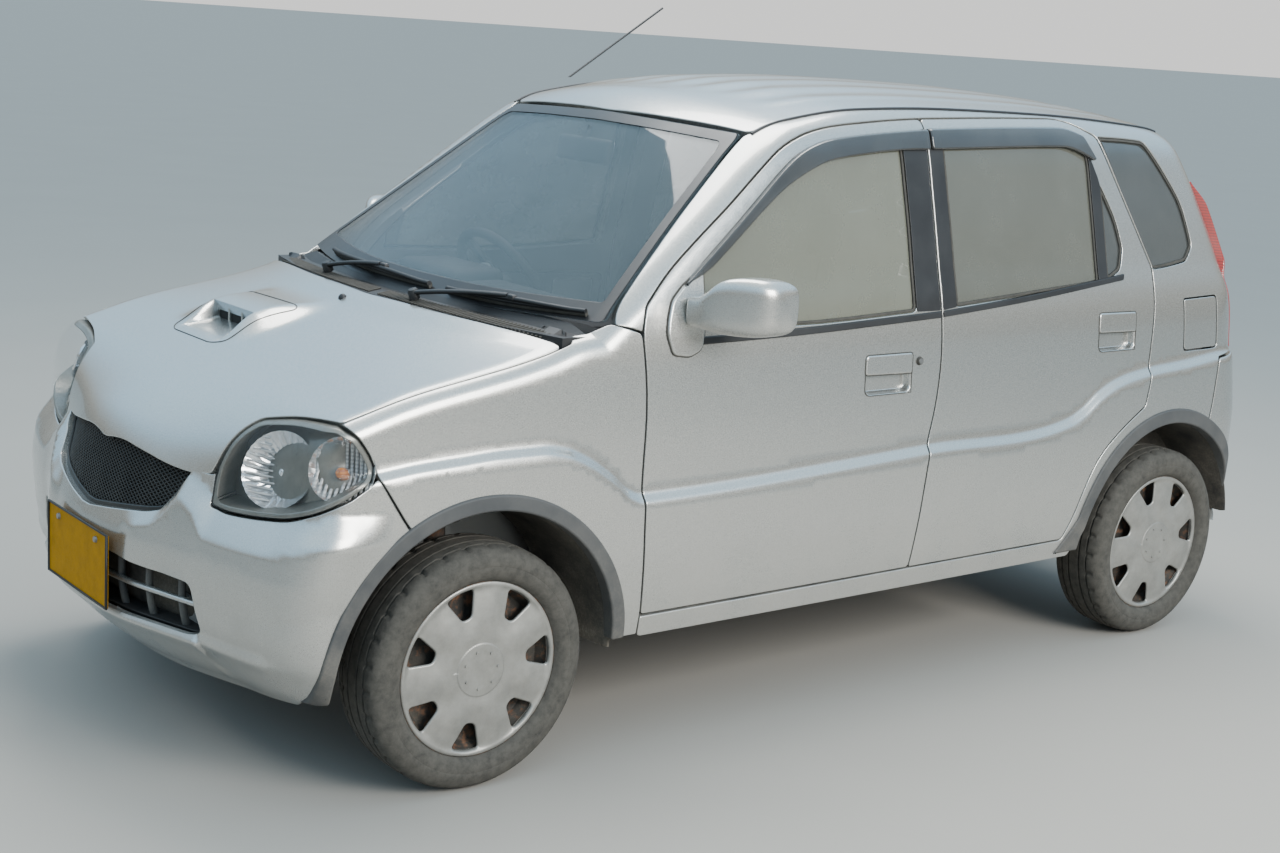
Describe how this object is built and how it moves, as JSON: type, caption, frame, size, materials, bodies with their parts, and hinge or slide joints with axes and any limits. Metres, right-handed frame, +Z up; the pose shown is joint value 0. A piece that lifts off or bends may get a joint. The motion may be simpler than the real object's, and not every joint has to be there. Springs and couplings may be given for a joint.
{
  "type": "kei car",
  "caption": "Small five-door hatchback with right-hand drive, opening doors, bonnet and tailgate, steered front wheels and rolling wheels.",
  "frame": {"origin": "on the ground under the middle of the car", "axes": "+X forward, +Y to the car's left, +Z up"},
  "size_m": [3.395, 1.74, 1.7114],
  "materials": {
    "paint": "satin metallic",
    "underbody": "matte",
    "black_plastic": "matte",
    "grey_plastic": "matte",
    "dark_plastic": "matte",
    "lamp_clear": "clear gloss",
    "lamp_red": "red gloss",
    "glass": "polished",
    "steel": "weathered",
    "iron": "weathered",
    "seat_fabric": "woven",
    "plate": "satin",
    "tyre": "matte",
    "cover": "satin silver"
  },
  "bodies": {
    "body": {"body_side_left": "paint", "body_side_right": "paint", "roof_panel": "paint", "floor_pan": "underbody", "bulkhead": "underbody", "cowl": "black_plastic", "rear_panel": "underbody", "front_fenders": "paint", "front_bumper": "paint", "rear_bumper": "paint", "front_grilles": "black_plastic", "headlamps": "lamp_clear", "tail_lamps": "lamp_red", "windscreen": "glass", "quarter_glass": "glass", "arch_trims": "grey_plastic", "front_frame": "underbody", "rear_axle": "steel", "engine_block": "iron", "fuel_tank": "underbody", "exhaust": "steel", "dashboard": "dark_plastic", "front_seats": "seat_fabric", "rear_bench": "seat_fabric", "front_plate": "plate", "antenna": "black_plastic"},
    "front_door_left": {"front_door_left": "paint", "front_glass_left": "glass"},
    "rear_door_left": {"rear_door_left": "paint", "rear_glass_left": "glass"},
    "knuckle_left": {"knuckle_left": "iron"},
    "wheel_front_left": {"tyre_front_left": "tyre", "wheel_front_left": "cover"},
    "wheel_rear_left": {"tyre_rear_left": "tyre", "wheel_rear_left": "cover"},
    "front_door_right": {"front_door_right": "paint", "front_glass_right": "glass"},
    "rear_door_right": {"rear_door_right": "paint", "rear_glass_right": "glass"},
    "knuckle_right": {"knuckle_right": "iron"},
    "wheel_front_right": {"tyre_front_right": "tyre", "wheel_front_right": "cover"},
    "wheel_rear_right": {"tyre_rear_right": "tyre", "wheel_rear_right": "cover"},
    "bonnet": {"bonnet": "paint"},
    "tailgate": {"tailgate": "paint", "tailgate_glass": "glass"},
    "fuel_lid": {"fuel_lid": "paint"},
    "steering_wheel": {"steering_wheel": "dark_plastic"}
  },
  "joints": [
    {"name": "steer_left", "type": "hinge", "parent": "body", "child": "knuckle_left", "pos_m": [1.0825, 0.6, 0.19], "axis": [0, -0.1644, 0.9864], "range_deg": [-33, 33]},
    {"name": "wheel_spin_front_left", "type": "hinge", "parent": "knuckle_left", "child": "wheel_front_left", "pos_m": [1.0825, 0.645, 0.2768], "axis": [0, 1, 0], "continuous": true},
    {"name": "wheel_spin_rear_left", "type": "hinge", "parent": "body", "child": "wheel_rear_left", "pos_m": [-1.2775, 0.645, 0.2768], "axis": [0, 1, 0], "continuous": true},
    {"name": "front_door_swing_left", "type": "hinge", "parent": "body", "child": "front_door_left", "pos_m": [0.634, 0.735, 0.64], "axis": [0, 0.0896, -0.996], "range_deg": [0, 65]},
    {"name": "rear_door_swing_left", "type": "hinge", "parent": "body", "child": "rear_door_left", "pos_m": [-0.318, 0.735, 0.64], "axis": [0, 0.0896, -0.996], "range_deg": [0, 65]},
    {"name": "steer_right", "type": "hinge", "parent": "body", "child": "knuckle_right", "pos_m": [1.0825, -0.6, 0.19], "axis": [0, 0.1644, 0.9864], "range_deg": [-33, 33]},
    {"name": "wheel_spin_front_right", "type": "hinge", "parent": "knuckle_right", "child": "wheel_front_right", "pos_m": [1.0825, -0.645, 0.2768], "axis": [0, 1, 0], "continuous": true},
    {"name": "wheel_spin_rear_right", "type": "hinge", "parent": "body", "child": "wheel_rear_right", "pos_m": [-1.2775, -0.645, 0.2768], "axis": [0, 1, 0], "continuous": true},
    {"name": "front_door_swing_right", "type": "hinge", "parent": "body", "child": "front_door_right", "pos_m": [0.634, -0.735, 0.64], "axis": [0, 0.0896, 0.996], "range_deg": [0, 65]},
    {"name": "rear_door_swing_right", "type": "hinge", "parent": "body", "child": "rear_door_right", "pos_m": [-0.318, -0.735, 0.64], "axis": [0, 0.0896, 0.996], "range_deg": [0, 65]},
    {"name": "bonnet_lift", "type": "hinge", "parent": "body", "child": "bonnet", "pos_m": [0.868, 0, 0.984], "axis": [0, -1, 0], "range_deg": [0, 50]},
    {"name": "tailgate_lift", "type": "hinge", "parent": "body", "child": "tailgate", "pos_m": [-1.36, 0, 1.501], "axis": [0, 1, 0], "range_deg": [0, 75]},
    {"name": "fuel_lid_swing", "type": "hinge", "parent": "body", "child": "fuel_lid", "pos_m": [-1.334, 0.708, 0.918], "axis": [0, 0, -1], "range_deg": [0, 90]},
    {"name": "steering_wheel_turn", "type": "hinge", "parent": "body", "child": "steering_wheel", "pos_m": [0.37, -0.3, 0.93], "axis": [-0.866, 0, 0.5], "range_deg": [-500, 500]}
  ],
  "couplings": [
    {"joint": "steer_right", "follows": "steer_left", "ratio": 1},
    {"joint": "steering_wheel_turn", "follows": "steer_left", "ratio": 15}
  ]
}
